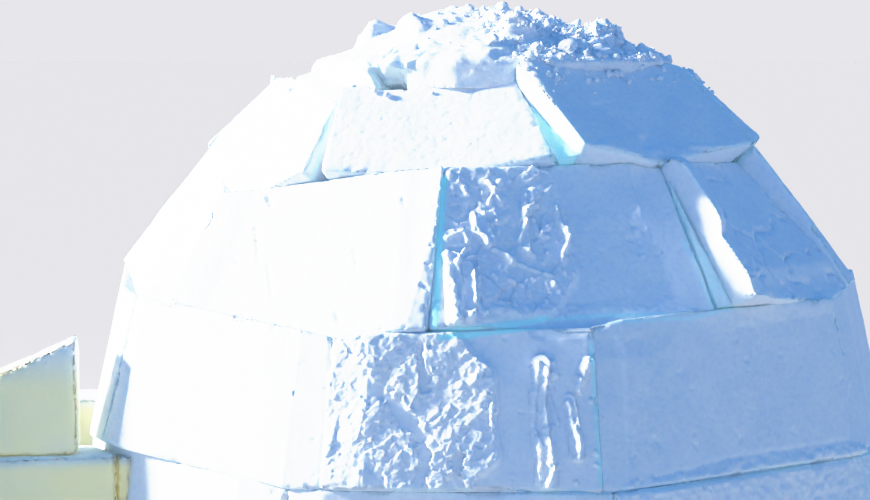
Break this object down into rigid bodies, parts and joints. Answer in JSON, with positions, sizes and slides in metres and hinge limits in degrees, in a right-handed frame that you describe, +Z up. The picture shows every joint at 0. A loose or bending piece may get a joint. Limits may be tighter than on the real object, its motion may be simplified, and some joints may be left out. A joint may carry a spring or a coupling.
{
  "type": "igloo",
  "caption": "Domed shelter of leaning snow slabs in rising courses, closed by a key block under loose snow, with an arched doorway and a short open passage.",
  "frame": {"origin": "on the ground, at the centre of the whole footprint: dome and entrance passage together", "axes": "+Z up; the doorway and the passage face -X; the side the picture shows faces -Y"},
  "size_m": [3.945, 3.1052, 1.8783],
  "materials": {
    "block_snow": "dry hand-cut wind-packed snow",
    "packed_snow": "damp snow pressed into joints",
    "loose_snow": "loose lumpy snow",
    "passage_snow": "dense glazed snow"
  },
  "bodies": {
    "root": {"course_1_block_1": "block_snow", "course_1_block_2": "block_snow", "course_1_block_3": "block_snow", "course_1_block_4": "block_snow", "course_1_block_5": "block_snow", "course_1_block_6": "block_snow", "course_1_block_7": "block_snow", "course_1_block_8": "block_snow", "course_2_block_1": "block_snow", "course_2_block_2": "block_snow", "course_2_block_3": "block_snow", "course_2_block_4": "block_snow", "course_2_block_5": "block_snow", "course_2_block_6": "block_snow", "course_2_block_7": "block_snow", "course_2_block_8": "block_snow", "course_2_block_9": "block_snow", "course_3_block_1": "block_snow", "course_3_block_2": "block_snow", "course_3_block_3": "block_snow", "course_3_block_4": "block_snow", "course_3_block_5": "block_snow", "course_3_block_6": "block_snow", "course_3_block_7": "block_snow", "course_3_block_8": "block_snow", "course_3_chink": "packed_snow", "course_4_block_1": "block_snow", "course_4_block_2": "block_snow", "course_4_block_3": "block_snow", "course_4_block_4": "block_snow", "course_4_block_5": "block_snow", "course_4_block_6": "block_snow", "course_4_block_7": "block_snow", "course_4_chink": "packed_snow", "course_5_block_1": "block_snow", "course_5_block_2": "block_snow", "course_5_block_3": "block_snow", "course_5_block_4": "block_snow", "course_5_block_5": "block_snow", "crown_heap": "loose_snow", "key_block": "block_snow", "passage_far_base": "passage_snow", "passage_near_base": "passage_snow", "passage_near_chock": "passage_snow", "passage_near_slab": "passage_snow"}
  },
  "joints": []
}
